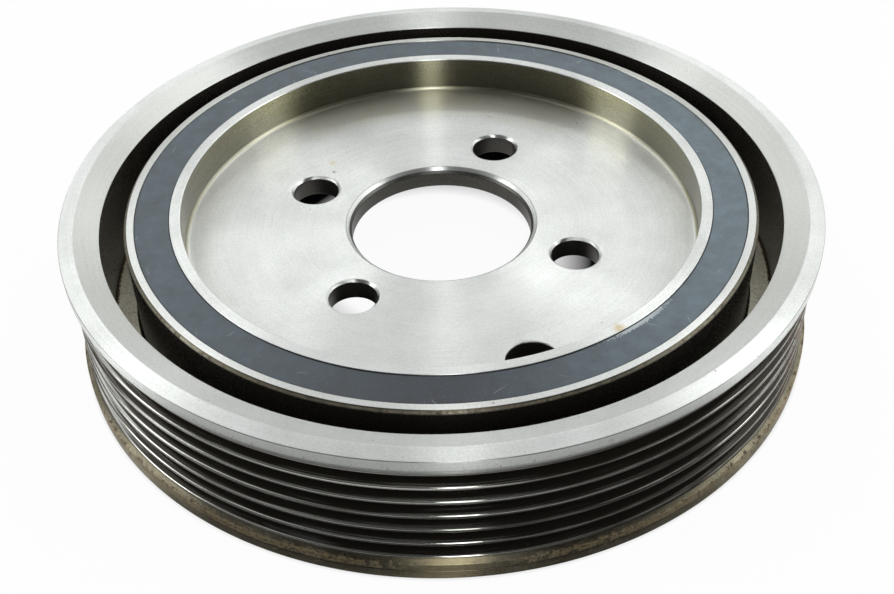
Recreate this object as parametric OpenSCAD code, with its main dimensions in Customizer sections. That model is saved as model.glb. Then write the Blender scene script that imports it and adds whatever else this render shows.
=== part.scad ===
// Harmonic balancer: a crankshaft torsional damper with a six-rib belt pulley.
// Three pieces share the +Z axis: a dished steel hub, a bonded rubber ring and a
// one-piece pulley ring. The radii run inwards from the flanges, piece by piece.
// The origin is on the axis, in the plane of the pulley ring's foot.

/* [Belt track] */
// Outside diameter over the two belt flanges
flange_d = 154; // [150:0.5:160]
// How far the flanges stand above the rib crests
flange_rise = 1; // [0.6:0.05:2]
// Number of V grooves
groove_count = 6; // [5:1:8]
// Distance from one groove to the next
groove_pitch = 3.56; // [3.4:0.02:4.7]
// Included angle of a groove
groove_angle = 40; // [36:1:42]
// Depth of a groove below the rib crests
groove_depth = 2.8; // [2.2:0.05:2.95]
// Width of the crest of a rib
rib_land = 0.62; // [0.56:0.02:0.9]
// Rounding of the rib crests and the groove roots
rib_round = 0.22; // [0.1:0.01:0.28]
// Thickness of the wall between the groove roots and the annular gap
track_wall = 3.9; // [3:0.1:6]

/* [Lower flange] */
// Height of the plain foot
foot_h = 2; // [0.8:0.05:3]
// How far the foot is set in from the flange
foot_step = 0.15; // [0.1:0.05:0.5]
// Width of the tool groove above the foot
relief_w = 0.3; // [0.2:0.05:0.6]
// Depth of the tool groove below the foot
relief_depth = 0.3; // [0.1:0.05:0.6]
// Height of the flange's round face
lower_face_h = 1.65; // [1:0.05:4]
// Height of the cone between the round face and the land
lower_cone_h = 0.5; // [0.3:0.05:2]
// Height of the land below the last groove
lower_land_h = 0.41; // [0.35:0.01:1.5]

/* [Upper flange] */
// Height of the land above the first groove
upper_land_h = 0.4; // [0.35:0.05:1.5]
// Height of the cone between the land and the round face
upper_cone_h = 1.8; // [0.5:0.05:3]
// Height of the flange's round face
upper_face_h = 2.2; // [1:0.05:5]
// Radial width of the bevel on the flange's upper face
bevel_w = 2.95; // [1.5:0.05:4]
// Rise of the bevel from the flange's edge to the crown line
bevel_rise = 0.5; // [0.2:0.05:1]
// Drop of the inner slope from the crown line to the annular gap
slope_drop = 2.03; // [1:0.01:3]

/* [Annular gap and sleeve] */
// Radial width of the gap
gap_w = 4.75; // [3.5:0.05:6]
// Thickness of the floor that joins the sleeve to the belt track
floor_t = 6; // [4:0.1:8]
// Height of the floor's underside above the foot
floor_rise = 3.7; // [1:0.1:5]
// Fillet along both sides of the gap's floor
gap_fillet = 0.6; // [0.3:0.1:1.5]
// Thickness of the sleeve wall
sleeve_t = 2.05; // [1.6:0.05:2.8]
// Chamfer on the sleeve's outer top edge
sleeve_chamfer = 0.65; // [0.2:0.05:1]

/* [Rubber ring] */
// Radial thickness of the rubber
rubber_t = 7.1; // [4:0.1:8.5]
// Height of the rubber's lower edges above the foot
rubber_rise = 7.3; // [6.5:0.1:12]
// Depth of the hollow moulded into the lower face
rubber_hollow = 1.2; // [0.4:0.1:2]
// How far the upper face lies below the steel on both sides
rubber_recess = 0.2; // [0.1:0.05:0.6]

/* [Hub] */
// Drop of the sleeve's and the rim's top faces below the upper flange's edge
face_drop = 1.3; // [0.8:0.05:2]
// Thickness of the rim wall
rim_t = 2.2; // [1.6:0.1:4]
// Height of the rim's lower edge above the foot
rim_rise = 6.5; // [4:0.1:7.3]
// Depth of the dish from the rim's top to the web
dish_depth = 8.1; // [6:0.1:11]
// Thickness of the web
web_t = 4.5; // [3:0.1:6]
// Fillet at the foot of the rim wall inside the dish
dish_fillet = 0.8; // [0.4:0.1:1]
// Fillet under the web
under_fillet = 2; // [0.5:0.1:3]

/* [Centre bore] */
// Diameter of the bore that centres on the crankshaft
bore_d = 37.8; // [30:0.1:42]
// Radial width of the steep lead-in at the bore's mouth
lead_w = 0.55; // [0.3:0.05:1]
// Depth of the steep lead-in
lead_h = 0.7; // [0.4:0.05:1]
// Radial width of the flat chamfer round the lead-in
mouth_w = 0.6; // [0.3:0.05:1]
// Depth of the flat chamfer
mouth_h = 0.5; // [0.3:0.05:0.8]

/* [Holes in the web] */
// Diameter of the circle that the four bolt holes lie on
bolt_circle_d = 59.5; // [56:0.1:66]
// Diameter of a bolt hole
bolt_hole_d = 9.7; // [8:0.1:11]
// Chamfer on the top edge of a bolt hole
bolt_chamfer = 0.5; // [0.2:0.05:0.8]
// Angle of the first bolt hole from the X axis
first_bolt_angle = 65.3; // [45:0.1:80]
// Angle that turns the fourth bolt hole out of the square, so the part fits one way
bolt_offset_angle = 11.9; // [6:0.1:16]
// Diameter of the plain hole beside the rim
rim_hole_d = 10.5; // [8:0.1:11]
// Distance from the plain hole's edge to the rim wall
rim_hole_gap = 1.05; // [1:0.05:4]
// Angle of the plain hole from the X axis
rim_hole_angle = -69.7; // [-80:0.1:-60]

/* [Edges] */
// Break on the larger turned edges
edge_break = 0.3; // [0.1:0.05:0.4]
// Break on the fine edges beside the gap and the rubber
fine_break = 0.15; // [0.05:0.05:0.3]

/* [Hidden] */
$fn = 180;
steel = [0.76, 0.77, 0.76];
rubber = [0.3, 0.33, 0.36];
fine_steps = 4;
bow_steps = 10;
over = 1;

// Radii, from the flanges inwards
flange_r = flange_d / 2;
rib_r = flange_r - flange_rise;
root_r = rib_r - groove_depth;
foot_r = flange_r - foot_step;
crown_r = flange_r - bevel_w;
gap_r = root_r - track_wall;
sleeve_r = gap_r - gap_w;
sleeve_in = sleeve_r - sleeve_t;
rim_r = sleeve_in - rubber_t;
rim_in = rim_r - rim_t;
bore_r = bore_d / 2;
rim_hole_r = rim_in - rim_hole_gap - rim_hole_d / 2;

// Heights of the pulley ring, from the foot upwards
face_z = foot_h + relief_w;
cone_z = face_z + lower_face_h;
land_z = cone_z + lower_cone_h;
track_z = land_z + lower_land_h;
mouth = groove_pitch - rib_land;
track_top = track_z + groove_count * groove_pitch - rib_land;
upper_cone_z = track_top + upper_land_h;
upper_face_z = upper_cone_z + upper_cone_h;
edge_z = upper_face_z + upper_face_h;
crown_z = edge_z + bevel_rise;
gap_top = crown_z - slope_drop;
gap_floor = floor_rise + floor_t;

// Heights that the hub, the rubber and the sleeve share
top_z = edge_z - face_drop;
rubber_top = top_z - rubber_recess;
web_top = top_z - dish_depth;
web_z = web_top - web_t;

// Points of an arc about c with radius r, from angle a0 to angle a1
function arc(c, r, a0, a1, steps = fine_steps) =
    [for (i = [0:steps]) let (a = a0 + (a1 - a0) * i / steps) c + r * [cos(a), sin(a)]];

// One V groove whose lower mouth edge is at height z: lower crest corner, root, upper crest corner
function groove(z) =
    let (
        half = groove_angle / 2,
        // Length that a rounding takes from the flat beside a flank
        turn = rib_round * tan((90 - half) / 2),
        mid = z + mouth / 2,
        root_half = mouth / 2 - groove_depth * tan(half),
        root_c = root_r + rib_round,
        crest_c = rib_r - rib_round
    )
    concat(
        arc([crest_c, z - turn], rib_round, 0, 90 - half),
        arc([root_c, mid - root_half + turn], rib_round, 270 - half, 180),
        arc([root_c, mid + root_half - turn], rib_round, 180, 90 + half),
        arc([crest_c, z + mouth + turn], rib_round, half - 90, 0)
    );

// The outer face from the foot to the crown line
function outer_face() = concat(
    [
        [gap_r + edge_break, 0],
        [foot_r - edge_break, 0],
        [foot_r, edge_break],
        [foot_r, foot_h],
        [foot_r - relief_depth, foot_h],
        [foot_r - relief_depth, face_z],
        [flange_r, face_z],
        [flange_r, cone_z],
        [rib_r, land_z]
    ],
    [for (i = [0:groove_count - 1]) each groove(track_z + i * groove_pitch)],
    [
        [rib_r, upper_cone_z],
        [flange_r, upper_face_z],
        [flange_r, edge_z - edge_break],
        [flange_r - edge_break, edge_z],
        [crown_r, crown_z]
    ]
);

// The annular gap, from the inner slope down, across the floor and up to the sleeve's top
function gap_face() = concat(
    [[gap_r + fine_break, gap_top], [gap_r, gap_top - fine_break]],
    arc([gap_r - gap_fillet, gap_floor + gap_fillet], gap_fillet, 0, -90),
    arc([sleeve_r + gap_fillet, gap_floor + gap_fillet], gap_fillet, -90, -180),
    [[sleeve_r, top_z - sleeve_chamfer], [sleeve_r - sleeve_chamfer, top_z]]
);

module pulley_ring() {
    color(steel)
    rotate_extrude()
    polygon(concat(
        outer_face(),
        gap_face(),
        [
            [sleeve_in + fine_break, top_z],
            [sleeve_in, top_z - fine_break],
            [sleeve_in, floor_rise + edge_break],
            [sleeve_in + edge_break, floor_rise],
            [gap_r, floor_rise],
            [gap_r, edge_break]
        ]
    ));
}

module rubber_ring() {
    // The moulded hollow is an arc through both lower edges, rubber_hollow deep
    half_w = rubber_t / 2;
    bow_r = (half_w * half_w + rubber_hollow * rubber_hollow) / (2 * rubber_hollow);
    bow_a = asin(half_w / bow_r);
    bow_c = [rim_r + half_w, rubber_rise + rubber_hollow - bow_r];
    color(rubber)
    rotate_extrude()
    polygon(concat(
        [[sleeve_in, rubber_top], [rim_r, rubber_top]],
        arc(bow_c, bow_r, 90 + bow_a, 90 - bow_a, bow_steps)
    ));
}

// The turned dish: bore, web and rim in one outline
module dish() {
    rotate_extrude()
    polygon(concat(
        [
            [bore_r + edge_break, web_z],
            [bore_r, web_z + edge_break],
            [bore_r, web_top - mouth_h - lead_h],
            [bore_r + lead_w, web_top - mouth_h],
            [bore_r + lead_w + mouth_w, web_top]
        ],
        arc([rim_in - dish_fillet, web_top + dish_fillet], dish_fillet, -90, 0),
        [
            [rim_in, top_z - edge_break],
            [rim_in + edge_break, top_z],
            [rim_r - fine_break, top_z],
            [rim_r, top_z - fine_break],
            [rim_r, rim_rise + edge_break],
            [rim_r - edge_break, rim_rise],
            [rim_in + edge_break, rim_rise],
            [rim_in, rim_rise + edge_break]
        ],
        arc([rim_in - under_fillet, web_z - under_fillet], under_fillet, 0, 90)
    ));
}

// A drilled hole through the web at radius r and angle a, with a chamfered top edge
module web_hole(r, a, hole_d, chamfer = 0) {
    rotate(a)
    translate([r, 0, 0]) {
        translate([0, 0, web_z - over]) cylinder(d = hole_d, h = web_t + 2 * over);
        if (chamfer > 0)
            translate([0, 0, web_top - chamfer])
            cylinder(d1 = hole_d, d2 = hole_d + 2 * (chamfer + over), h = chamfer + over);
    }
}

module hub() {
    square_angles = [for (i = [-1:1]) first_bolt_angle + 90 * i];
    odd_angle = first_bolt_angle + 180 - bolt_offset_angle;
    color(steel)
    difference() {
        dish();
        for (a = concat(square_angles, odd_angle))
            web_hole(bolt_circle_d / 2, a, bolt_hole_d, bolt_chamfer);
        web_hole(rim_hole_r, rim_hole_angle, rim_hole_d);
    }
}

hub();
rubber_ring();
pulley_ring();
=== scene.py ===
import bmesh
import bpy
import numpy as np
from mathutils import Matrix, Vector


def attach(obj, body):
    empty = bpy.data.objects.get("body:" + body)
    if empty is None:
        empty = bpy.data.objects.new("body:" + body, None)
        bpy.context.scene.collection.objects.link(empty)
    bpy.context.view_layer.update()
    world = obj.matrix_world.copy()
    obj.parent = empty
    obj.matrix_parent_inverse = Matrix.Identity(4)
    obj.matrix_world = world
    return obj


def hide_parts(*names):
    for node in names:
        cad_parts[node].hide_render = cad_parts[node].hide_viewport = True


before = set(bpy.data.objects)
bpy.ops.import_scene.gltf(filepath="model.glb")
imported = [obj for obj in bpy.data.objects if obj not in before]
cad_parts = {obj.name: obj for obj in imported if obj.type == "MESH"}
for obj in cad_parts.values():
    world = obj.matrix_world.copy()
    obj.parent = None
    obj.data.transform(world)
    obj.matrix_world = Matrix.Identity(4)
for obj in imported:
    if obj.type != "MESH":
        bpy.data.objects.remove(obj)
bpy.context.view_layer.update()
print("frame loaded:", sorted(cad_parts))

mm = 0.001

# the camera stands close above the front edge and looks down into the dish: its place in metres, the ways
# that its right and its top point, its lens and sensor in mm, and how near and how far it sees in metres
cameraView = {
    "place": (0.00071, -0.21398, 0.18014),
    "right": (0.99953, -0.01973, -0.02337),
    "up": (0.03058, 0.6449, 0.76365),
    "lens": 50.98,
    "sensor": 36,
    "sees": (0.01, 20),
}


def addCamera(view):
    right, up = Vector(view["right"]).normalized(), Vector(view["up"]).normalized()
    aim = Matrix((right, up, right.cross(up))).transposed().to_4x4()
    data = bpy.data.cameras.new("camera")
    data.lens, data.sensor_width = view["lens"], view["sensor"]
    data.clip_start, data.clip_end = view["sees"]
    camera = bpy.data.objects.new("camera", data)
    bpy.context.collection.objects.link(camera)
    camera.matrix_world = Matrix.Translation(view["place"]) @ aim
    bpy.context.scene.camera = camera


addCamera(cameraView)
print("camera placed")


def hexColour(text):
    # sRGB hex to linear: below 0.04045 divide by 12.92, above it ((c + 0.055) / 1.055) ^ 2.4
    c = np.array([int(text[i:i + 2], 16) for i in (1, 3, 5)]) / 255
    return (*np.where(c <= 0.04045, c / 12.92, ((c + 0.055) / 1.055) ** 2.4).tolist(), 1.0)


def addNode(tree, kind, inputs=None, **settings):
    # one node with its settings; an input takes a plain value or another node's socket
    node = tree.nodes.new("ShaderNode" + kind)
    for key, value in settings.items():
        setattr(node, key, value)
    for key, value in (inputs or {}).items():
        if isinstance(value, bpy.types.NodeSocket):
            tree.links.new(value, node.inputs[key])
        else:
            node.inputs[key].default_value = value
    return node


def newMaterial(name):
    material = bpy.data.materials.new(name)
    material.use_nodes = True
    material.node_tree.nodes.clear()
    return material, material.node_tree


def softCorners(corners, steps=4, support=0.06):
    # a closed outline in which each corner (r, z, setback) becomes a curve from setback before it to setback
    # after it, (1-t)^2 a + 2t(1-t) corner + t^2 b, with one more point close outside each end to keep flats
    # flat
    points, setback = corners[:, :2], corners[:, 2:3]
    before, after = np.roll(points, 1, 0) - points, np.roll(points, -1, 0) - points
    lengthBefore = np.linalg.norm(before, axis=1, keepdims=True)
    lengthAfter = np.linalg.norm(after, axis=1, keepdims=True)
    before, after = before / lengthBefore, after / lengthAfter
    t = np.linspace(0, 1, steps)[None, :, None]
    a, b = points + before * setback, points + after * setback
    curve = (1 - t) ** 2 * a[:, None] + 2 * t * (1 - t) * points[:, None] + t ** 2 * b[:, None]
    roomBefore = np.minimum(support, (lengthBefore - setback - np.roll(setback, 1, 0)) * 0.4)
    roomAfter = np.minimum(support, (lengthAfter - setback - np.roll(setback, -1, 0)) * 0.4)
    first, last = a + before * roomBefore, b + after * roomAfter
    return np.concatenate([first[:, None], curve, last[:, None]], 1).reshape(-1, 2)


def lathe(outline, angles):
    # every outline point (r, z) turned to every angle: x = r cos a, y = r sin a
    r, z = outline[:, 0][:, None], outline[:, 1][:, None]
    return np.stack([r * np.cos(angles), r * np.sin(angles), z + 0 * angles], -1)


def gridFaces(rows, columns, closeRows, closeColumns, start):
    # each face joins the points (i, j), (i, j + 1), (i + 1, j + 1) and (i + 1, j), numbered along the rows
    i = np.arange(rows if closeRows else rows - 1)[:, None]
    j = np.arange(columns if closeColumns else columns - 1)[None, :]
    i2, j2 = (i + 1) % rows, (j + 1) % columns
    corners = [i * columns + j, i * columns + j2, i2 * columns + j2, i2 * columns + j]
    return start + np.stack([c.ravel() for c in corners], -1)


def addPiece(name, grids, materials, node, pickMaterial=None, attributes=None):
    # grids: (points in mm, closeRows, closeColumns); they are joined into one closed mesh. pickMaterial gives
    # each face the number of its material from (r, z), and each attribute is a rule of (r, z, angle) at the
    # vertices
    points, faces, start = [], [], 0
    for grid, closeRows, closeColumns in grids:
        rows, columns = grid.shape[:2]
        points.append(grid.reshape(-1, 3))
        faces.append(gridFaces(rows, columns, closeRows, closeColumns, start))
        start += rows * columns
    points, faces = np.concatenate(points) * mm, np.concatenate(faces)
    mesh = bpy.data.meshes.new(name)
    mesh.vertices.add(len(points))
    mesh.vertices.foreach_set("co", points.ravel())
    mesh.loops.add(faces.size)
    mesh.loops.foreach_set("vertex_index", faces.ravel().astype(np.int32))
    mesh.polygons.add(len(faces))
    mesh.polygons.foreach_set("loop_start", np.arange(0, faces.size, 4, dtype=np.int32))
    mesh.update(calc_edges=True)
    shape = bmesh.new()
    shape.from_mesh(mesh)
    bmesh.ops.remove_doubles(shape, verts=shape.verts, dist=2e-6)
    bmesh.ops.recalc_face_normals(shape, faces=shape.faces)
    shape.to_mesh(mesh)
    shape.free()
    mesh.shade_smooth()
    mesh.set_sharp_from_angle(angle=np.radians(50))
    for material in materials:
        mesh.materials.append(material)
    if pickMaterial:
        centre = np.zeros(len(mesh.polygons) * 3)
        mesh.polygons.foreach_get("center", centre)
        centre = centre.reshape(-1, 3) / mm
        number = pickMaterial(np.hypot(centre[:, 0], centre[:, 1]), centre[:, 2])
        mesh.polygons.foreach_set("material_index", number.astype(np.int32))
    place = np.zeros(len(mesh.vertices) * 3)
    mesh.vertices.foreach_get("co", place)
    place = place.reshape(-1, 3) / mm
    for key, rule in (attributes or {}).items():
        values = rule(np.hypot(place[:, 0], place[:, 1]), place[:, 2], np.arctan2(place[:, 1], place[:, 0]))
        mesh.attributes.new(key, "FLOAT", "POINT").data.foreach_set("value", values.astype(np.float32))
    piece = bpy.data.objects.new(name, mesh)
    bpy.context.collection.objects.link(piece)
    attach(piece, "root")
    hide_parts(node)
    print(name, len(mesh.polygons), "faces")
    return piece


def fade(value, low, high):
    # 0 below low, 1 above high, smooth between: t^2 (3 - 2t)
    t = np.clip((value - low) / (high - low), 0, 1)
    return t * t * (3 - 2 * t)


def bell(a, centre, width):
    # 1 at an angle round the piece, falling off as exp(-(away / width)^2), all in degrees
    away = (np.degrees(a) - centre + 180) % 360 - 180
    return np.exp(-(away / width) ** 2)


def facing(a, centre):
    # cosine of the angle from a direction round the piece that is given in degrees
    return np.cos(a - np.radians(centre))


def inZones(zones, r, z):
    # for each zone (radius from, radius to, height from, height to) 1 at the points inside it, otherwise 0
    return {name: (r > r1) * (r < r2) * (z > z1) * (z < z2) for name, (r1, r2, z1, z2) in zones.items()}


def turnedCoordinates(tree):
    # the place, and what stays the same all along a tool mark: radius and height, with the turn as cosine
    # and sine
    place = addNode(tree, "TexCoord").outputs["Object"]
    axes = addNode(tree, "SeparateXYZ", {0: place})
    flat = addNode(tree, "CombineXYZ", {0: axes.outputs[0], 1: axes.outputs[1]})
    radius = addNode(tree, "VectorMath", {0: flat.outputs[0]}, operation="LENGTH").outputs["Value"]
    across = addNode(tree, "VectorMath", {0: flat.outputs[0]}, operation="NORMALIZE")
    turn = addNode(tree, "SeparateXYZ", {0: across.outputs[0]})
    return place, radius, axes.outputs[2], turn.outputs[0], turn.outputs[1]


def toolMarks(tree, coordinates, spacing, streak, detail):
    # noise whose features are `spacing` mm wide across the marks and about 1/streak of a radian along them
    place, radius, height, cosine, sine = coordinates
    r = addNode(tree, "Math", {0: radius, 1: 1 / (spacing * mm)}, operation="MULTIPLY")
    z = addNode(tree, "Math", {0: height, 1: 1 / (spacing * mm)}, operation="MULTIPLY")
    c = addNode(tree, "Math", {0: cosine, 1: streak}, operation="MULTIPLY")
    s = addNode(tree, "Math", {0: sine, 1: streak}, operation="MULTIPLY")
    vector = addNode(tree, "CombineXYZ", {0: r.outputs[0], 1: z.outputs[0], 2: c.outputs[0]})
    noise = addNode(tree, "TexNoise", {"Vector": vector.outputs[0], "W": s.outputs[0], "Scale": 1.0,
                                       "Detail": detail, "Roughness": 0.6}, noise_dimensions="4D")
    return noise.outputs["Fac"]


def steel(name, look):
    # bare turned low-carbon steel: tool marks run round the axis and draw each highlight out into a fan
    # across them; over it lie tarnish and dirt in oil, which also carry painted shade, rust and small specks,
    # each where its attribute or noise puts it. The IOR stays at its default, as for any metal
    material, tree = newMaterial(name)
    coordinates = turnedCoordinates(tree)
    place = coordinates[0]
    # the real feed of about 0.1 mm is too fine to draw, so the marks are drawn three times coarser
    marks = toolMarks(tree, coordinates, look["feed"], streak=2.5, detail=3)
    cloud = addNode(tree, "TexNoise", {"Vector": place, "Scale": 1 / (look["cloud"] * mm), "Detail": 5,
                                       "Roughness": 0.6}).outputs["Fac"]
    grain = addNode(tree, "TexNoise", {"Vector": place, "Scale": 1 / (look["grain"] * mm), "Detail": 3,
                                       "Roughness": 0.7}).outputs["Fac"]
    # two greys of clean steel: 0.45 grain + 0.35 cloud + 0.2 marks
    tone = addNode(tree, "Math", {0: grain, 1: 0.45}, operation="MULTIPLY")
    tone = addNode(tree, "Math", {0: cloud, 1: 0.35, 2: tone.outputs[0]}, operation="MULTIPLY_ADD")
    tone = addNode(tree, "Math", {0: marks, 1: 0.2, 2: tone.outputs[0]}, operation="MULTIPLY_ADD")
    tone = addNode(tree, "MapRange", {0: tone.outputs[0], 1: 0.4, 2: 0.6})
    colour = addNode(tree, "Mix", {0: tone.outputs[0], 6: hexColour(look["dark"]),
                                   7: hexColour(look["light"])}, data_type="RGBA")
    # tarnish and dirt, with the painted shade they carry, lie unevenly, attribute x (0.8 to 1.15); the dirt
    # and its painted shade break into streaks along the marks
    for layer, streaky in (("tarnishAndShade", 0), ("grimeAndShade", look["smear"])):
        amount = addNode(tree, "Attribute", attribute_name=layer).outputs["Fac"]
        uneven = addNode(tree, "MapRange", {0: cloud, 1: 0.35, 2: 0.65, 3: 0.8, 4: 1.15})
        streaks = addNode(tree, "MapRange", {0: marks, 1: 0.3, 2: 0.7, 3: -streaky, 4: streaky})
        amount = addNode(tree, "Math", {0: amount, 1: uneven.outputs[0], 2: streaks.outputs[0]},
                         operation="MULTIPLY_ADD", use_clamp=True)
        colour = addNode(tree, "Mix", {0: amount.outputs[0], 6: colour.outputs[2], 7: hexColour(look[layer])},
                         data_type="RGBA")
    grimeAndShadeAmount = amount.outputs[0]
    # rust grows in pits about a millimetre apart, ochre where it is thin and dark brown where it is thick: it
    # starts where pits + 0.32 rust passes 0.66
    pits = addNode(tree, "TexNoise", {"Vector": place, "Scale": 1 / (look["pit"] * mm), "Detail": 6,
                                      "Roughness": 0.75}).outputs["Fac"]
    rust = addNode(tree, "Attribute", attribute_name="rust").outputs["Fac"]
    reach = addNode(tree, "Math", {0: rust, 1: 0.32, 2: pits}, operation="MULTIPLY_ADD")
    rustAmount = addNode(tree, "MapRange", {0: reach.outputs[0], 1: 0.66, 2: 0.8, 4: 0.85})
    rustDepth = addNode(tree, "MapRange", {0: pits, 1: 0.44, 2: 0.6})
    rustColour = addNode(tree, "Mix", {0: rustDepth.outputs[0], 6: hexColour(look["rustThin"]),
                                       7: hexColour(look["rustThick"])}, data_type="RGBA")
    colour = addNode(tree, "Mix", {0: rustAmount.outputs[0], 6: colour.outputs[2], 7: rustColour.outputs[2]},
                     data_type="RGBA")
    # specks: the middles of a few of the cells of a pattern
    cells = addNode(tree, "TexVoronoi", {"Vector": place, "Scale": 1 / (look["speckApart"] * mm),
                                         "Randomness": 1.0})
    speckSize = addNode(tree, "MapRange", {0: cells.outputs["Distance"], 1: 0.04, 2: 0.12, 3: 1.0, 4: 0.0})
    cellNumber = addNode(tree, "SeparateColor", {0: cells.outputs["Color"]})
    speckRare = addNode(tree, "MapRange", {0: cellNumber.outputs[0], 1: 0.99 - look["speckShare"],
                                           2: 1 - look["speckShare"], 4: 0.8})
    speck = addNode(tree, "Math", {0: speckSize.outputs[0], 1: speckRare.outputs[0]}, operation="MULTIPLY")
    colour = addNode(tree, "Mix", {0: speck.outputs[0], 6: colour.outputs[2], 7: hexColour(look["speck"])},
                     data_type="RGBA")
    # stains, and a painted glint made the same way: blots with ragged edges, strongest in the middle
    for centre, size, tint, strength in look["stainsAndGlints"]:
        away = addNode(tree, "VectorMath", {0: place, 1: [c * mm for c in centre]}, operation="DISTANCE")
        away = addNode(tree, "Math", {0: away.outputs["Value"], 1: 1 / (size * mm), 2: pits},
                       operation="MULTIPLY_ADD")
        blot = addNode(tree, "MapRange", {0: away.outputs[0], 1: 0.7, 2: 1.35, 3: strength, 4: 0.0})
        colour = addNode(tree, "Mix", {0: blot.outputs[0], 6: colour.outputs[2], 7: hexColour(tint)},
                         data_type="RGBA")
    # grain varies the roughness by 0.04 either way, and rust adds up to 0.35
    rough = addNode(tree, "MapRange", {0: grain, 1: 0.3, 2: 0.7, 3: look["roughness"] - 0.04,
                                       4: look["roughness"] + 0.04})
    rough = addNode(tree, "Math", {0: rustAmount.outputs[0], 1: 0.35, 2: rough.outputs[0]},
                    operation="MULTIPLY_ADD", use_clamp=True)
    # rust is not metal, and dirt with painted shade takes a fifth of its amount off the metal share
    metal = addNode(tree, "Math", {0: 1.0, 1: rustAmount.outputs[0]}, operation="SUBTRACT")
    metal = addNode(tree, "Math", {0: grimeAndShadeAmount, 1: -0.2, 2: metal.outputs[0]}, operation="MULTIPLY_ADD",
                    use_clamp=True)
    # height: marks + 0.7 grain, with rust as pits
    height = addNode(tree, "Math", {0: grain, 1: 0.7, 2: marks}, operation="MULTIPLY_ADD")
    height = addNode(tree, "Math", {0: rustAmount.outputs[0], 1: -2.5, 2: height.outputs[0]},
                     operation="MULTIPLY_ADD")
    bump = addNode(tree, "Bump", {"Strength": look["bump"], "Distance": look["markDepth"] * mm,
                                  "Height": height.outputs[0]})
    # the tangent runs round the axis, and a quarter turn lays the highlight across the marks
    tangent = addNode(tree, "Tangent", direction_type="RADIAL", axis="Z")
    shader = addNode(tree, "BsdfPrincipled", {
        "Base Color": colour.outputs[2], "Metallic": metal.outputs[0], "Roughness": rough.outputs[0],
        "Anisotropic": look["anisotropic"], "Anisotropic Rotation": 0.25, "Normal": bump.outputs[0],
        "Tangent": tangent.outputs[0],
    })
    addNode(tree, "OutputMaterial", {0: shader.outputs[0]})
    return material


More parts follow.
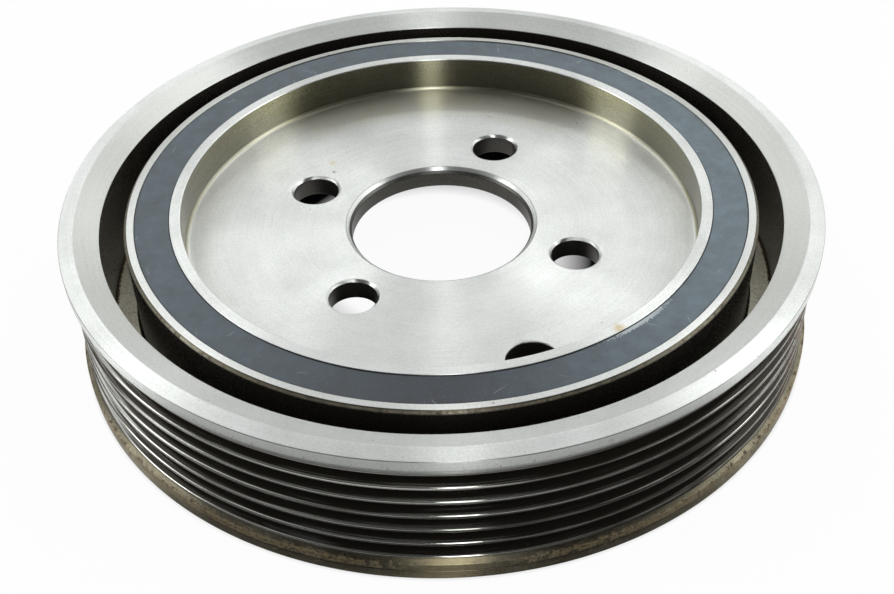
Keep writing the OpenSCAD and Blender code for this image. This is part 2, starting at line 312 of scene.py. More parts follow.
def mouldedRubber(name, look):
    # moulded nitrile rubber: slate grey and half matt, scratched and scuffed, with a chalky bloom at one edge
    material, tree = newMaterial(name)
    place = addNode(tree, "TexCoord").outputs["Object"]
    cloud = addNode(tree, "TexNoise", {"Vector": place, "Scale": 1 / (look["cloud"] * mm), "Detail": 5,
                                       "Roughness": 0.65}).outputs["Fac"]
    grain = addNode(tree, "TexNoise", {"Vector": place, "Scale": 1 / (look["grain"] * mm), "Detail": 3,
                                       "Roughness": 0.7}).outputs["Fac"]
    tone = addNode(tree, "Math", {0: grain, 1: 0.5, 2: cloud}, operation="MULTIPLY_ADD")
    tone = addNode(tree, "MapRange", {0: tone.outputs[0], 1: 0.55, 2: 0.95})
    colour = addNode(tree, "Mix", {0: tone.outputs[0], 6: hexColour(look["dark"]),
                                   7: hexColour(look["light"])}, data_type="RGBA")
    # painted light: attribute x share x patches of 0.5 to 1, lightening the rubber to a pale blue grey
    paintedLight = addNode(tree, "Attribute", attribute_name="paintedLight").outputs["Fac"]
    patchy = addNode(tree, "MapRange", {0: cloud, 1: 0.3, 2: 0.7, 3: 0.5, 4: 1.0})
    paintedLight = addNode(tree, "Math", {0: paintedLight, 1: look["paintedLightShare"]}, operation="MULTIPLY")
    paintedLight = addNode(tree, "Math", {0: paintedLight.outputs[0], 1: patchy.outputs[0]}, operation="MULTIPLY")
    colour = addNode(tree, "Mix", {0: paintedLight.outputs[0], 6: colour.outputs[2], 7: hexColour(look["paintedLight"])},
                     data_type="RGBA")
    # scratches: thin lines between the cells of a bent pattern, kept only where a slow noise is high
    bend = addNode(tree, "TexNoise", {"Vector": place, "Scale": 1 / (look["bendLength"] * mm), "Detail": 2})
    bent = addNode(tree, "VectorMath", {0: bend.outputs["Color"], 1: (look["bendBy"] * mm,) * 3, 2: place},
                   operation="MULTIPLY_ADD")
    lines = addNode(tree, "TexVoronoi", {"Vector": bent.outputs[0], "Scale": 1 / (look["scratchApart"] * mm)},
                    feature="DISTANCE_TO_EDGE")
    thin = addNode(tree, "MapRange", {0: lines.outputs["Distance"], 1: 0.004, 2: 0.012, 3: 1.0, 4: 0.0})
    where = addNode(tree, "TexNoise", {"Vector": place, "Scale": 1 / (look["scratchPatch"] * mm),
                                       "Detail": 1})
    some = addNode(tree, "MapRange", {0: where.outputs["Fac"], 1: 0.58, 2: 0.66, 4: look["scratch"]})
    scratch = addNode(tree, "Math", {0: thin.outputs[0], 1: some.outputs[0]}, operation="MULTIPLY")
    # the bloom is ragged: chalky where grain + 0.5 attribute passes 0.66
    chalk = addNode(tree, "Attribute", attribute_name="chalk").outputs["Fac"]
    chalk = addNode(tree, "Math", {0: chalk, 1: 0.5, 2: grain}, operation="MULTIPLY_ADD")
    chalk = addNode(tree, "MapRange", {0: chalk.outputs[0], 1: 0.66, 2: 0.85, 4: 0.9})
    pale = addNode(tree, "Math", {0: scratch.outputs[0], 1: chalk.outputs[0]}, operation="MAXIMUM")
    colour = addNode(tree, "Mix", {0: pale.outputs[0], 6: colour.outputs[2], 7: hexColour(look["pale"])},
                     data_type="RGBA")
    edge = addNode(tree, "Attribute", attribute_name="edge").outputs["Fac"]
    colour = addNode(tree, "Mix", {0: edge, 6: colour.outputs[2], 7: hexColour(look["edge"])},
                     data_type="RGBA")
    rough = addNode(tree, "MapRange", {0: cloud, 1: 0.3, 2: 0.7, 3: look["roughness"] - 0.06,
                                       4: look["roughness"] + 0.08})
    height = addNode(tree, "Math", {0: scratch.outputs[0], 1: -2.0, 2: grain}, operation="MULTIPLY_ADD")
    bump = addNode(tree, "Bump", {"Strength": 0.4, "Distance": look["grainDepth"] * mm,
                                  "Height": height.outputs[0]})
    shader = addNode(tree, "BsdfPrincipled", {"Base Color": colour.outputs[2], "Roughness": rough.outputs[0],
                                              "IOR": 1.52, "Normal": bump.outputs[0]})
    addNode(tree, "OutputMaterial", {0: shader.outputs[0]})
    return material


# the pulley ring is one outline turned round the axis. Sizes are in mm: an R is a radius, a Z or Top a height,
# and the groove's two shade depths and chamferBand are how far down a groove's side the painted shade
# changes and how far up the chamfer its darker edges and rust change
pulleySize = {
    "flangeR": 77, "footR": 76.85, "reliefR": 76.55, "ribR": 76, "crownR": 74.05, "gapR": 69.3,
    "sleeveR": 64.55, "sleeveIn": 62.5, "footTop": 2.0, "reliefTop": 2.3, "coneZ": 3.95, "landZ": 4.45,
    "trackZ": 4.86, "pitch": 3.56, "grooves": 6, "rib": 0.62, "grooveDepth": 2.8, "halfAngle": 20,
    "grooveShadeFrom": (0.45, 1.3), "upperConeZ": 26.0, "upperFaceZ": 27.8, "edgeZ": 30.0, "crownZ": 30.5,
    "gapTop": 28.47, "gapFloor": 9.7, "floorZ": 3.7, "sleeveTop": 28.7, "sleeveChamfer": 0.65,
    "chamferBand": (0.22, 0.43), "steps": 288,
}
# clean steel: pale grey with a touch of green. feed, cloud, grain, pit and speckApart are spacings in mm, and
# a stain, or a painted glint drawn the same way, is its place and size in mm, its colour and its strength
cleanLook = {
    "light": "#dadddb", "dark": "#c2c5c2", "tarnishAndShade": "#8d8c80", "grimeAndShade": "#38352f", "rustThin": "#7d6434",
    "rustThick": "#35241a", "speck": "#4d4a42", "roughness": 0.35, "anisotropic": 0.95, "feed": 0.3,
    "markDepth": 0.006, "bump": 0.35, "cloud": 14, "grain": 0.45, "pit": 1.1, "speckApart": 2.0,
    "speckShare": 0.02, "smear": 0, "stainsAndGlints": [],
}
# grooves: the same steel polished by the belt; the dark laid over it in the grooves is painted shade with
# some dirt
oiledLook = dict(cleanLook, light="#dfe0db", dark="#c3c4be", roughness=0.12, anisotropic=0.7, speckShare=0.04,
                 bump=0.4, markDepth=0.003, smear=0.75)
# bare steel that has gone olive where nobody wipes it, under a matt, pitted grey crust
dullLook = dict(cleanLook, light="#8c8a78", dark="#6a685a", rustThin="#9a9682", rustThick="#6a6656",
                roughness=0.26, anisotropic=0.9, speckShare=0.06, pit=0.6, grain=0.35)
# lower flange: stained brown all over, with fine rust, and a pale patch in front that is a painted glint
rustyLook = dict(cleanLook, light="#8a8571", dark="#504b3f", rustThin="#957d4b", rustThick="#2a2018",
                 roughness=0.4, anisotropic=0.9, speckShare=0.2, speck="#241d17", grain=0.3, cloud=8,
                 bump=0.7, markDepth=0.012, stainsAndGlints=[((-1, -77, 3.4), 11, "#c6b88f", 0.4)])
# floor of the gap: pale, matt and pitted, brown where rust has started
pittedLook = dict(cleanLook, light="#dedbca", dark="#b3b09b", rustThin="#8a6c40", rustThick="#43371f",
                  roughness=0.5, anisotropic=0.0, pit=0.8, speckShare=0.15, speck="#3a3527")


def pulleyOutline(s):
    # corners (r, z, setback) run up the outside, over the upper flange, down and up the gap, over the sleeve
    # and down it. A corner with setback 0 is one plain point: each side of a groove has two of them, for its
    # painted shade to change at, and so has the sleeve's chamfer, for its darker edges and rust to change at
    mouth = s["pitch"] - s["rib"]
    low = s["trackZ"] + s["pitch"] * np.arange(s["grooves"])
    depths = np.array([0, *s["grooveShadeFrom"], s["grooveDepth"]])
    slant = depths * np.tan(np.radians(s["halfAngle"]))
    setback = np.array([0.15, 0, 0, 0.15])
    side = np.stack([s["ribR"] - depths, slant, setback], -1)
    profile = np.concatenate([side, (side * [1, -1, 1] + [0, mouth, 0])[::-1]])
    grooves = (profile[None] + low[:, None, None] * [0, 1, 0]).reshape(-1, 3)
    chamferLow = s["sleeveTop"] - s["sleeveChamfer"]
    below = [
        (s["gapR"], 0, 0.25), (s["footR"], 0, 0.25), (s["footR"], s["footTop"], 0.08),
        (s["reliefR"], s["footTop"], 0.04), (s["reliefR"], s["reliefTop"], 0.04),
        (s["flangeR"], s["reliefTop"], 0.08), (s["flangeR"], s["coneZ"], 0.12), (s["ribR"], s["landZ"], 0.1),
    ]
    above = [
        (s["ribR"], s["upperConeZ"], 0.1), (s["flangeR"], s["upperFaceZ"], 0.3),
        (s["flangeR"], s["edgeZ"], 0.16), (s["crownR"], s["crownZ"], 0.12), (s["gapR"], s["gapTop"], 0.14),
        (s["gapR"], s["gapFloor"], 0.6), (s["sleeveR"], s["gapFloor"], 0.6), (s["sleeveR"], chamferLow, 0.05),
        *[(s["sleeveR"] - c, chamferLow + c, 0) for c in s["chamferBand"]],
        (s["sleeveR"] - s["sleeveChamfer"], s["sleeveTop"], 0.08), (s["sleeveIn"], s["sleeveTop"], 0.12),
        (s["sleeveIn"], s["floorZ"], 0.25), (s["gapR"], s["floorZ"], 0.1),
    ]
    corners = np.concatenate([below, grooves, above])
    curves = softCorners(corners).reshape(len(corners), -1, 2)
    return np.concatenate([curve if setback else curve[:1] for curve, setback in zip(curves, corners[:, 2])])


def pulleyMaterial(r, z):
    # 0 the faces that were wiped clean, 1 the grooves, 2 the gap's walls and everything underneath, 3 the
    # lower flange, the foot and the sleeve's chamfer, 4 the gap's floor; the first zone that holds a face wins
    s, out = pulleySize, pulleySize["flangeR"] + 1
    chamferLow, wallR = s["sleeveTop"] - s["sleeveChamfer"], s["sleeveR"] + 0.7
    zone = inZones({
        "floor": (s["sleeveR"] + 0.45, s["gapR"] - 0.03, s["gapFloor"] - 0.1, s["gapFloor"] + 0.5),
        "under": (0, s["gapR"] + 1, -1, s["gapFloor"] - 0.7),
        "foot": (s["gapR"] + 1, out, -1, s["landZ"] + 0.05),
        "chamfer": (s["sleeveR"] - s["sleeveChamfer"], s["sleeveR"], chamferLow - 0.05, s["sleeveTop"] - 0.02),
        "track": (s["ribR"] - 4, s["ribR"] + 0.03, s["landZ"], s["upperConeZ"]),
        "sleeve": (s["sleeveR"] - 0.03, wallR, -1, chamferLow),
        "gap": (wallR, s["gapR"] + 0.02, -1, s["gapTop"] - 0.17),
    }, r, z)
    numbers = {"floor": 4, "under": 2, "foot": 3, "chamfer": 3, "track": 1, "sleeve": 2, "gap": 2}
    return np.select([zone[name] for name in numbers], list(numbers.values()), 0)


def zonesOfRing(s):
    # the parts of the ring's surface on which something lies; each zone takes in its own surface alone
    out, top, chamferLow = s["flangeR"] + 1, s["crownZ"] + 1, s["sleeveTop"] - s["sleeveChamfer"]
    return {
        "outside": (s["ribR"] - 0.1, out, -1, top),
        "track": (s["ribR"] - 4, out, s["landZ"] - 0.05, s["upperConeZ"] + 0.2),
        "crests": (s["ribR"] - 0.1, out, s["landZ"] + 0.15, s["upperConeZ"] + 0.1),
        "flanks": (s["ribR"] - 2, out, s["landZ"] + 0.15, s["upperConeZ"]),
        "slope": (s["gapR"] - 0.1, s["crownR"] - 0.05, s["gapTop"] - 0.07, top),
        "gapWall": (s["gapR"] - 0.1, s["gapR"] + 0.1, s["gapFloor"] + 0.2, s["gapTop"] - 0.13),
        "gapFloor": (s["sleeveR"] + 0.45, s["gapR"] + 0.1, s["gapFloor"] - 0.1, s["gapFloor"] + 0.5),
        "sleeveWall": (s["sleeveR"] - 0.05, s["sleeveR"] + 0.75, s["gapFloor"] + 0.05, chamferLow + 0.05),
        "chamfer": (s["sleeveR"] - 0.85, s["sleeveR"] + 0.45, chamferLow + 0.05, s["sleeveTop"] - 0.06),
        "chamferRust": (s["sleeveR"] - 0.85, s["sleeveR"] + 0.45, chamferLow + 0.03, s["sleeveTop"] - 0.06),
        "sleeveTop": (s["sleeveIn"] - 0.5, s["sleeveR"] - 0.45, s["sleeveTop"] - 0.06, top),
        "under": (0, s["gapR"] + 0.1, -1, s["gapFloor"] - 0.7),
    }


pulleyZones = zonesOfRing(pulleySize)


def pulleyTarnish(r, z, a):
    # the outer face is duller towards its foot, and the slope and the sleeve's top differ round the ring
    zone = inZones(pulleyZones, r, z)
    face = 0.3 * (r > 75.5) * (z > 25.5) * (1 - fade(z, 27.6, 28.9))
    slope = (0.12 + 0.2 * fade(np.abs(np.cos(a)), 0.5, 0.95)) * zone["slope"]
    sleeveTop = (0.1 + 0.35 * fade(np.sin(a), -0.2, 0.6)) * zone["sleeveTop"]
    return np.clip(face + 0.5 * zone["chamfer"] + 0.3 * zone["crests"] + slope + sleeveTop, 0, 1)


def pulleyGrimeAndShade(r, z, a):
    # painted shade with some dirt: the grooves are darkened deep down; on the left the upper part of each side
    # is left light, where it mirrors the bright side of the room, and the crests are darkened a little all
    # round and more on the right and left, over their mirrored light
    s, zone = pulleySize, inZones(pulleyZones, r, z)
    litSide = fade(facing(a, -170), 0.8, 0.93)
    below = s["ribR"] - r
    # crest -> side -> bottom of a groove; the painted shade down the side reaches full strength 0.35 mm
    # further down in front than at the sides
    crest = 0.25 + 0.6 * fade(facing(a, -35), 0.5, 0.85) + 0.7 * litSide
    side = 1.6 - 1.2 * litSide
    down = fade(below, 0.1, 0.4 + 0.35 * fade(-np.sin(a), 0.85, 0.97))
    groove = crest + (side - crest) * down + 1.2 * litSide * fade(below, 0.5, 1.3)
    # painted shade: the gap's walls are darkened almost to black, and everything underneath is darker too
    walls = 1.6 * zone["sleeveWall"] + 1.2 * zone["gapWall"] + 0.5 * zone["under"]
    # the chamfer is darker, most along both its edges, and a dark line runs along the flange's top corner;
    # the recessed step above the foot is darkened as painted shade
    fromMiddle = np.abs(z - s["sleeveTop"] + s["sleeveChamfer"] / 2)
    fromStep = np.abs(z - (s["footTop"] + s["reliefTop"]) / 2)
    edges = zone["chamfer"] * (0.2 + 0.7 * (fromMiddle > 0.15)) + 0.45 * zone["outside"] * (fromStep < 0.2)
    edges = edges + 0.6 * (r > s["flangeR"] - 0.14) * (np.abs(z - s["edgeZ"]) < 0.12)
    return np.clip(groove * zone["track"] + walls + edges, 0, 1.6)


def pulleyRust(r, z, a):
    # most of it on the lower flange, worn off in front; on the ribs only towards the right-hand side
    s, zone = pulleySize, inZones(pulleyZones, r, z)
    side = fade(facing(a, -10), 0.85, 0.98)
    band = fade(z, 2.2, 2.5) * (1 - fade(z, 3.9, 4.4)) * (0.75 + 0.2 * side) * (1 - 0.8 * bell(a, -90, 7))
    foot = 0.3 * (1 - fade(z, 1.9, 2.2))
    lip = 0.35 * fade(z, 25.9, 26.1) * (1 - fade(z, 27.9, 29.4))
    outside = (band + foot + lip) * zone["outside"] + 0.75 * side * zone["flanks"]
    # the gap's floor is pitted, and brown where it meets the outer wall
    floor = (0.3 + 0.7 * (r > s["gapR"] - 0.55)) * zone["gapFloor"]
    fromMiddle = np.abs(z - s["sleeveTop"] + s["sleeveChamfer"] / 2)
    return np.clip(outside + floor + (0.3 + 0.3 * (fromMiddle < 0.15)) * zone["chamferRust"], 0, 1)


turn = np.linspace(0, 2 * np.pi, pulleySize["steps"], endpoint=False)
addPiece("pulley_ring_turned", [(lathe(pulleyOutline(pulleySize), turn), True, True)],
         [steel("turnedSteel", cleanLook), steel("oiledSteel", oiledLook), steel("dullSteel", dullLook),
          steel("rustySteel", rustyLook), steel("pittedSteel", pittedLook)], "pulley_ring", pulleyMaterial,
         {"tarnishAndShade": pulleyTarnish, "grimeAndShade": pulleyGrimeAndShade, "rust": pulleyRust})

# the rubber ring fills its place but for a fine step at each edge, and its top is a little wavy; sizes in mm
rubberSize = {
    "outer": 62.5, "inner": 55.4, "top": 28.5, "edgeZ": 7.3, "hollow": 1.2, "steps": 360, "across": 36,
}
# the pale blue grey laid on the rubber's top is painted light
rubberLook = {
    "dark": "#1c2127", "light": "#29313a", "pale": "#a9b2b5", "edge": "#101112", "paintedLight": "#6e7f87",
    "paintedLightShare": 0.8, "roughness": 0.5, "cloud": 4, "grain": 0.5, "grainDepth": 0.02, "scratch": 0.3,
    "scratchApart": 9, "scratchPatch": 5, "bendLength": 6, "bendBy": 4,
}


def rubberGrid(s):
    # top: r across, z = top + a low wave, with an edge 0.12 mm lower all round; sides: straight; underside: an
    # arch of depth 1 - (2u - 1)^2. The points are bunched towards the edges, u - 0.13 sin(2 pi u)
    angles = np.linspace(0, 2 * np.pi, s["steps"], endpoint=False)
    u = np.linspace(0, 1, s["across"])
    u = u - 0.13 * np.sin(2 * np.pi * u)
    r = s["outer"] + (s["inner"] - s["outer"]) * u
    wave = 0.03 * np.sin(3 * angles + 1) + 0.02 * np.sin(11 * angles) + 0.015 * np.sin(29 * angles + 2)
    lip = -0.12 * np.exp(-((u * (s["outer"] - s["inner"])) / 0.12) ** 2)
    lip = lip + lip[::-1]
    top = lathe(np.stack([r, s["top"] + lip], -1), angles)
    top[..., 2] += (np.sin(np.pi * u) ** 0.5)[:, None] * wave[None, :]
    low = np.stack([r[::-1], s["edgeZ"] + s["hollow"] * (1 - (2 * u - 1) ** 2)], -1)
    side = np.linspace(s["top"] - 0.6, s["edgeZ"] + 0.6, 6)
    inner = np.stack([0 * side + s["inner"], side], -1)
    outer = np.stack([0 * side + s["outer"], side[::-1]], -1)
    return np.concatenate([top, lathe(inner, angles), lathe(low, angles), lathe(outer, angles)])


def rubberEdge(r, z, a):
    # a dark line of shade along both edges
    return np.clip(fade(r, 62.15, 62.45) + 1 - fade(r, 55.45, 55.7), 0, 1)


def rubberChalk(r, z, a):
    # a short stretch of the inner edge
    return bell(a, -50, 8) * (1 - fade(r, 55.9, 57.0))


def rubberPaintedLight(r, z, a):
    # painted light on the top: lightest at angle 0, where more light falls, and none on the stretch a quarter
    # turn from it towards the front, which stays darker
    return (0.5 + 0.5 * np.maximum(np.cos(a), 0) - 0.5 * bell(a, -90, 32)) * (z > 28)


addPiece("rubber_ring_moulded", [(rubberGrid(rubberSize), True, True)],
         [mouldedRubber("mouldedRubber", rubberLook)], "rubber_ring", None,
         {"edge": rubberEdge, "chalk": rubberChalk, "paintedLight": rubberPaintedLight})

# the hub has a turned rim and bore, and a web of sectors, some of them wrapped round a hole
hubSize = {
    "rimOut": 55.4, "rimIn": 53.2, "rimTop": 28.7, "rimLow": 6.5, "webTop": 20.6, "webLow": 16.1,
    "fillet": 0.8, "underFillet": 2.0, "boreR": 18.9, "leadW": 0.55, "leadH": 0.7, "mouthW": 0.6,
    "mouthH": 0.5, "edge": 0.3, "boltCircle": 29.75, "boltR": 4.85, "chamfer": 0.5, "rimHoleRadius": 46.9,
    "rimHoleR": 5.25, "boltAngles": (65.3, 155.3, 233.4, 335.3), "rimHoleAngle": 290.3, "boltHalf": 13,
    "rimHalf": 9, "across": 26,
}
hubLook = dict(cleanLook, cloud=11, speckShare=0.03, tarnishAndShade="#9a9573", stainsAndGlints=[
    ((31.4, -44.7, 28.7), 1.9, "#b29a5c", 0.65), ((-23.9, 22.7, 20.6), 1.3, "#c0b070", 0.5),
    ((-23.5, 19.1, 20.6), 0.7, "#3a352c", 0.6),
])
# the wall of the dish is dull and olive; the bore and holes are dark, drilled and never polished
wallLook = dict(dullLook, light="#b6b294", dark="#767360", roughness=0.15, anisotropic=0.9)
boreLook = dict(dullLook, light="#686864", dark="#494946", roughness=0.42, anisotropic=0.3)


def hubAngles(s):
    # degrees round the hub, 1 apart inside the sectors that hold a hole and about 1 apart between them
    half = [s["boltHalf"]] * 4 + [s["rimHalf"]]
    holes = sorted(zip([*s["boltAngles"], s["rimHoleAngle"]], half))
    starts = [a - h for a, h in holes]
    ends = [a + h for a, h in holes]
    angles, spans = [], []
    for k, (a, h) in enumerate(holes):
        inside = np.linspace(starts[k], ends[k], 2 * h + 1)
        nextStart = starts[(k + 1) % len(holes)] + (360 if k + 1 == len(holes) else 0)
        between = np.linspace(ends[k], nextStart, max(2, round(nextStart - ends[k]) + 1))
        spans.append(("hole", a, np.radians(inside)))
        spans.append(("plain", None, np.radians(between)))
        angles += [inside[:-1], between[:-1]]
    return np.radians(np.concatenate(angles)), spans


def holePatch(s, angles, holeAngle, isRimHole):
    # rows run from the top sector's edge to the hole, down its wall and out to the lower sector's edge;
    # columns run round the hole, each aimed from its centre at one point of the sector's edge
    v = np.linspace(0, 1, s["across"])
    n, m = len(angles) - 1, len(v) - 1
    a = np.concatenate([angles[:-1], np.full(m, angles[-1]), angles[:0:-1], np.full(m, angles[0])])
    w = np.concatenate([np.zeros(n), v[:-1], np.ones(n), v[:0:-1]])
    topIn, topOut = s["boreR"] + s["leadW"] + s["mouthW"], s["rimIn"] - s["fillet"]
    lowIn, lowOut = s["boreR"] + s["edge"], s["rimIn"] - s["underFillet"]
    topR, lowR = topIn + (topOut - topIn) * w, lowIn + (lowOut - lowIn) * w
    top = np.stack([topR * np.cos(a), topR * np.sin(a)], -1)
    low = np.stack([lowR * np.cos(a), lowR * np.sin(a)], -1)
    radius = s["rimHoleRadius"] if isRimHole else s["boltCircle"]
    holeR = s["rimHoleR"] if isRimHole else s["boltR"]
    centre = radius * np.array([np.cos(np.radians(holeAngle)), np.sin(np.radians(holeAngle))])
    aim = np.arctan2(*(top - centre).T[::-1])
    ring = np.stack([np.cos(aim), np.sin(aim)], -1)
    ragged = 0.0
    if isRimHole:
        # a torn edge: short nicks of up to a quarter of a millimetre
        ragged = 0.1 * np.abs(np.sin(7 * aim + 1) * np.sin(13 * aim)) + 0.09 * np.abs(np.sin(31 * aim + 2))
        wall = [(holeR + ragged + 0.02, 0), (holeR + ragged * 0.6, -0.05), (holeR + ragged * 0.3, -0.3)]
    else:
        c = s["chamfer"]
        wall = [(holeR + c + 0.06, 0), (holeR + c + 0.01, -0.01), (holeR + c - 0.05, -0.06),
                (holeR + 0.05, -c + 0.05), (holeR + 0.01, -c - 0.01), (holeR, -c - 0.07)]
    depth = s["webTop"] - s["webLow"]
    wall += [(holeR, -depth * 0.5), (holeR, -depth + 0.2), (holeR, -depth + 0.1), (holeR + 0.08, -depth)]
    rows = []
    first = centre + ring * np.reshape(wall[0][0] + 0 * aim, (-1, 1))
    for t in (0, 0.3, 0.6, 0.85, 0.95):
        rows.append(np.c_[top * (1 - t) + first * t, np.full(len(a), s["webTop"])])
    for r, z in wall:
        rows.append(np.c_[centre + ring * np.reshape(r + 0 * aim, (-1, 1)), np.full(len(a), s["webTop"] + z)])
    last = centre + ring * wall[-1][0]
    for t in (0.95, 0.7, 0.35, 0):
        rows.append(np.c_[low * (1 - t) + last * t, np.full(len(a), s["webLow"])])
    return np.stack(rows)


def hubGrids(s):
    angles, spans = hubAngles(s)
    v = np.linspace(0, 1, s["across"])
    topIn, topOut = s["boreR"] + s["leadW"] + s["mouthW"], s["rimIn"] - s["fillet"]
    lowIn, lowOut = s["boreR"] + s["edge"], s["rimIn"] - s["underFillet"]
    grids = []
    for kind, holeAngle, span in spans:
        if kind == "hole":
            grids.append((holePatch(s, span, holeAngle, holeAngle == s["rimHoleAngle"]), False, True))
        else:
            for inner, outer, z in ((topIn, topOut, s["webTop"]), (lowIn, lowOut, s["webLow"])):
                grids.append((lathe(np.c_[inner + (outer - inner) * v, 0 * v + z], span), False, False))
    # rim: up from the dish's fillet, over the top, down the outside and back to the underside's fillet
    corners = np.array([
        (topOut - 1, s["webTop"], 0), (s["rimIn"], s["webTop"], s["fillet"]), (s["rimIn"], s["rimTop"], 0.25),
        (s["rimOut"], s["rimTop"], 0.12), (s["rimOut"], s["rimLow"], 0.25), (s["rimIn"], s["rimLow"], 0.25),
        (s["rimIn"], s["webLow"], s["underFillet"]), (lowOut - 1, s["webLow"], 0),
    ])
    # the outermost corners only aim the first and last curve, whose ends are set on the web's edges
    rim = softCorners(corners, 6).reshape(len(corners), -1, 2)[1:-1]
    rim[0, 0], rim[-1, -1] = (topOut, s["webTop"]), (lowOut, s["webLow"])
    grids.append((lathe(rim.reshape(-1, 2), angles), False, True))
    # bore: from the web's top down the two-step lead-in and the bore to the underside
    bore = np.array([
        (topIn + 1, s["webTop"], 0), (topIn, s["webTop"], 0.08),
        (s["boreR"] + s["leadW"], s["webTop"] - s["mouthH"], 0.08),
        (s["boreR"], s["webTop"] - s["mouthH"] - s["leadH"], 0.08), (s["boreR"], s["webLow"], s["edge"]),
        (lowIn + 1, s["webLow"], 0),
    ])
    bore = softCorners(bore, 4).reshape(len(bore), -1, 2)[1:-1]
    bore[0, 0], bore[-1, -1] = (topIn, s["webTop"]), (lowIn, s["webLow"])
    grids.append((lathe(bore.reshape(-1, 2), angles), False, True))
    return grids


def zonesOfHub(s):
    # the parts of the hub's surface on which something lies, as for the ring
    wallIn, wallOut, wallLow = s["rimIn"] - 0.3, s["rimIn"] + 0.2, s["webTop"] + 0.7
    return {
        "wall": (wallIn, wallOut, wallLow, s["rimTop"] - 0.2),
        "wallRust": (wallIn - 0.1, wallOut + 0.1, s["webTop"], s["rimTop"]),
        "fillet": (s["rimIn"] - 0.9, s["rimIn"] + 0.3, s["webTop"] + 0.1, s["webTop"] + 0.9),
        "web": (0, s["rimOut"], s["webTop"] - 0.1, s["webTop"] + 0.1),
        "holes": (s["boreR"] + 0.6, s["rimIn"] - 1.2, s["webLow"] + 0.1, s["webTop"] - 0.55),
        "bore": (0, s["boreR"] + 0.2, -1, s["webTop"] - 1.1),
        "boreRust": (0, s["boreR"] + 0.1, -1, s["webTop"] - 1),
        "below": (0, s["rimOut"] + 1, -1, s["webLow"] + 0.1),
    }


hubZones = zonesOfHub(hubSize)


def hubMaterial(r, z):
    # 0 the faces that were wiped clean, 1 the wall of the dish, 2 the bore, the holes, the rim's outside and
    # everything underneath
    s = hubSize
    wall = (r > s["rimIn"] - 0.3) * (r < s["rimIn"] + 0.2) * (z > s["webTop"] + 0.7) * (z < s["rimTop"] - 0.25)
    low = (r < s["rimIn"] + 0.8) * (z < s["webTop"] - 0.6)
    outside = (r > s["rimOut"] - 0.1) * (z < s["rimTop"] - 0.3)
    return np.select([wall, low, outside], [1, 2, 2], 0)


def hubTarnishAndShade(r, z, a):
    # the foot of the wall is dull, and the web is duller outwards; at the back, towards the wall, it is
    # darkened more as a painted reflection of the dark wall
    zone = inZones(hubZones, r, z)
    web = 0.08 * fade(r, 40, 52) + 0.5 * fade(r, 38, 47) * fade(np.sin(a), 0.66, 0.86)
    return np.clip(0.7 * zone["fillet"] + web * zone["web"], 0, 1)


def hubGrimeAndShade(r, z, a):
    # painted shade: the dish's wall is darkened but for two stretches where its highlights fall, the bore is
    # darkened, most on the right, and the holes and the underside are darker too
    zone = inZones(hubZones, r, z)
    wall = 0.5 * (1 - bell(a, 44, 11) - bell(a, 129, 14)) * zone["wall"]
    bore = (0.45 + 0.5 * fade(facing(a, 12), 0.85, 0.97)) * zone["bore"]
    return np.clip(wall + bore + 0.6 * zone["holes"] + 0.3 * zone["below"], 0, 1)


def hubRust(r, z, a):
    zone = inZones(hubZones, r, z)
    return 0.35 * fade(z, 20.9, 22) * (1 - fade(z, 27.4, 28)) * zone["wallRust"] + 0.25 * zone["boreRust"]


addPiece("hub_turned", hubGrids(hubSize),
         [steel("turnedSteelHub", hubLook), steel("dullSteelWall", wallLook), steel("darkSteelBore", boreLook)],
         "hub", hubMaterial, {"tarnishAndShade": hubTarnishAndShade, "grimeAndShade": hubGrimeAndShade, "rust": hubRust})

# the studio: a white sweep behind and overhead, a dim room on the camera's side, and lamps all round.
# Brightness runs from 0 to 1, and what is measured from the part's axis is in mm
studio = {
    "even": 0.55,  # what lights everything that isn't mirrored
    "dim": 0.03,  # the room on the camera's side
    "dimFrom": -0.12, "dimTo": 0.12,  # y of the direction in which the room turns from dim to white
    "floorWhite": 0.8, "floorDark": (0.03, 0.03, 0.033), "floorShow": 0.95,
    "shadeR": (75, 77.5),  # edge of the deep shade under the part
    "litPatch": (-2, 14, 24, 36),  # x, y and the inner and outer radius of the patch lit through the bore
    "tableDim": (-75, -30),  # y in which the mirrored table turns from dim to white
    "tableShade": (90, 101), "tableFar": 0.85,  # where its shadow ends there, and how bright it is beyond
    "tableRim": (78, 79), "tableClose": 0.3,  # a fine line of light right at the foot
    "tableHalf": 6, "distance": 0.9,  # half the table's side and how far away the lamps are, in metres
    "lamps": {
        # name: azimuth and elevation in degrees, width and height in metres, radiance that it adds
        "right": (24, 19, 1.0, 0.60, 0.78),
        "left": (183, 20, 0.32, 0.66, 4.5),
        "frontStrip": (273, 38, 0.125, 1.05, 6.6),
        "rightStrip": (-7, 19, 0.33, 0.60, 3.6),
        "backLowRight": (64, 8.2, 0.4, 0.107, 3.7),
        "backLowLeft": (116, 3.2, 0.5, 0.08, 5.2),
        "overhead": (90, 72, 0.5, 0.35, 0.35),
        "backRight": (50, 53, 0.46, 0.29, 1.2),
        "backLeft": (129, 44.5, 0.34, 0.51, 1.05),
        "backMiddle": (89, 38, 0.113, 0.065, 4.2),
    },
}


def addLamp(name, distance, azimuth, elevation, width, height, radiance):
    # an area lamp aimed at the part; power = radiance x pi x area
    a, e = np.radians(azimuth), np.radians(elevation)
    place = Vector((np.cos(e) * np.cos(a), np.cos(e) * np.sin(a), np.sin(e))) * distance
    data = bpy.data.lights.new(name, "AREA")
    data.shape, data.size, data.size_y = "RECTANGLE", width, height
    data.energy = radiance * np.pi * width * height
    lamp = bpy.data.objects.new(name, data)
    bpy.context.collection.objects.link(lamp)
    lamp.location = place
    lamp.rotation_euler = (-place).to_track_quat("-Z", "Y").to_euler()
    lamp.visible_camera = False


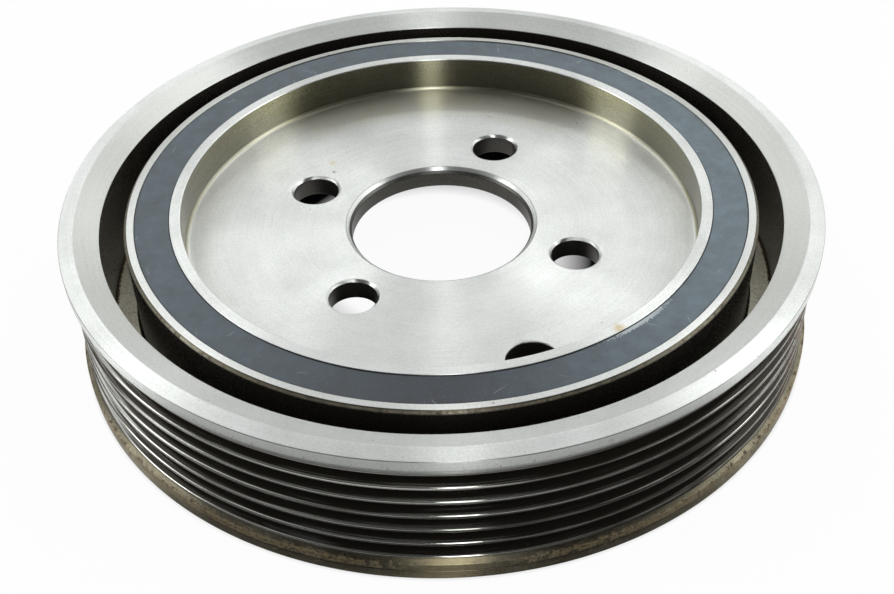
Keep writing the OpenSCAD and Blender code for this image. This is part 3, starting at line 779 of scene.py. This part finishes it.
def studioRoom(s):
    # the camera and openings see white, the part mirrors white and dim, and everything else gets an even
    # light
    room = bpy.data.worlds.new("studio")
    room.use_nodes = True
    tree = room.node_tree
    tree.nodes.clear()
    direction = addNode(tree, "SeparateXYZ", {0: addNode(tree, "TexCoord").outputs["Generated"]})
    sides = addNode(tree, "MapRange", {0: direction.outputs[1], 1: s["dimFrom"], 2: s["dimTo"], 3: s["dim"],
                                       4: 1.0}, interpolation_type="SMOOTHSTEP")
    ray = addNode(tree, "LightPath").outputs
    mirrored = addNode(tree, "Mix", {0: ray["Is Glossy Ray"], 2: s["even"], 3: sides.outputs[0]})
    seesWhite = addNode(tree, "Math", {0: ray["Is Camera Ray"], 1: ray["Is Transmission Ray"]},
                        operation="MAXIMUM")
    strength = addNode(tree, "Mix", {0: seesWhite.outputs[0], 2: mirrored.outputs[0], 3: 1.0})
    background = addNode(tree, "Background", {"Color": (1, 1, 1, 1), "Strength": strength.outputs[0]})
    addNode(tree, "OutputWorld", {0: background.outputs[0]})
    return room


def paleTable(name, s):
    # a matt white table: the camera sees it almost white, and what the part mirrors of it is set apart below
    material, tree = newMaterial(name)
    ray = addNode(tree, "LightPath").outputs
    place = addNode(tree, "TexCoord").outputs["Object"]
    fromAxis = addNode(tree, "VectorMath", {0: place}, operation="LENGTH").outputs["Value"]
    # under the part the table is in deep shade, but for the patch that is lit through the bore
    outside = addNode(tree, "MapRange", {0: fromAxis, 1: s["shadeR"][0] * mm, 2: s["shadeR"][1] * mm})
    patchX, patchY, patchIn, patchOut = (v * mm for v in s["litPatch"])
    fromPatch = addNode(tree, "VectorMath", {0: place, 1: (patchX, patchY, 0)}, operation="DISTANCE")
    inside = addNode(tree, "MapRange", {0: fromPatch.outputs["Value"], 1: patchIn, 2: patchOut,
                                        3: 1.0, 4: 0.0})
    clear = addNode(tree, "Math", {0: outside.outputs[0], 1: inside.outputs[0]}, operation="MAXIMUM")
    clear = clear.outputs[0]
    shaded = addNode(tree, "Mix", {0: clear, 6: (*s["floorDark"], 1), 7: (*(s["floorWhite"],) * 3, 1)},
                     data_type="RGBA")
    table = addNode(tree, "BsdfDiffuse", {"Color": shaded.outputs[2]})
    show = addNode(tree, "Math", {0: ray["Is Camera Ray"], 1: s["floorShow"]}, operation="MULTIPLY")
    show = addNode(tree, "Math", {0: show.outputs[0], 1: clear}, operation="MULTIPLY")
    white = addNode(tree, "Emission", {"Color": (1, 1, 1, 1), "Strength": 1.0})
    seen = addNode(tree, "MixShader", {0: show.outputs[0], 1: table.outputs[0], 2: white.outputs[0]})
    # mirrored in the part the table is white beside and behind it; on the camera's side it is dim, and dark
    # in the part's own shadow
    depth = addNode(tree, "SeparateXYZ", {0: place}).outputs[1]
    front = addNode(tree, "MapRange", {0: depth, 1: s["tableDim"][0] * mm, 2: s["tableDim"][1] * mm,
                                       3: s["dim"], 4: 1.0}, interpolation_type="SMOOTHSTEP")
    beyond = addNode(tree, "MapRange", {0: fromAxis, 1: s["tableShade"][0] * mm, 2: s["tableShade"][1] * mm,
                                        4: s["tableFar"]})
    rim = addNode(tree, "MapRange", {0: fromAxis, 1: s["tableRim"][0] * mm, 2: s["tableRim"][1] * mm,
                                     3: s["tableClose"], 4: 0.0})
    rim = addNode(tree, "Math", {0: rim.outputs[0], 1: outside.outputs[0]}, operation="MULTIPLY")
    bright = addNode(tree, "Math", {0: front.outputs[0], 1: beyond.outputs[0]}, operation="MAXIMUM")
    bright = addNode(tree, "Math", {0: bright.outputs[0], 1: clear}, operation="MULTIPLY")
    bright = addNode(tree, "Math", {0: bright.outputs[0], 1: rim.outputs[0]}, operation="MAXIMUM")
    mirrored = addNode(tree, "Emission", {"Color": (1, 1, 1, 1), "Strength": bright.outputs[0]})
    isMirrored = addNode(tree, "Math", {0: ray["Is Glossy Ray"], 1: ray["Is Transmission Ray"]},
                         operation="MAXIMUM")
    shader = addNode(tree, "MixShader", {0: isMirrored.outputs[0], 1: seen.outputs[0],
                                         2: mirrored.outputs[0]})
    addNode(tree, "OutputMaterial", {0: shader.outputs[0]})
    return material


for name, lampSettings in studio["lamps"].items():
    addLamp(name, studio["distance"], *lampSettings)
bpy.context.scene.world = studioRoom(studio)
half = studio["tableHalf"]
floorMesh = bpy.data.meshes.new("floor")
floorCorners = [(-half, -half, 0), (half, -half, 0), (half, half, 0), (-half, half, 0)]
floorMesh.from_pydata(floorCorners, [], [(0, 1, 2, 3)])
floorMesh.materials.append(paleTable("paleTable", studio))
floor = bpy.data.objects.new("floor", floorMesh)
bpy.context.collection.objects.link(floor)
print("studio ready")

bpy.context.scene.view_settings.view_transform = "Standard"
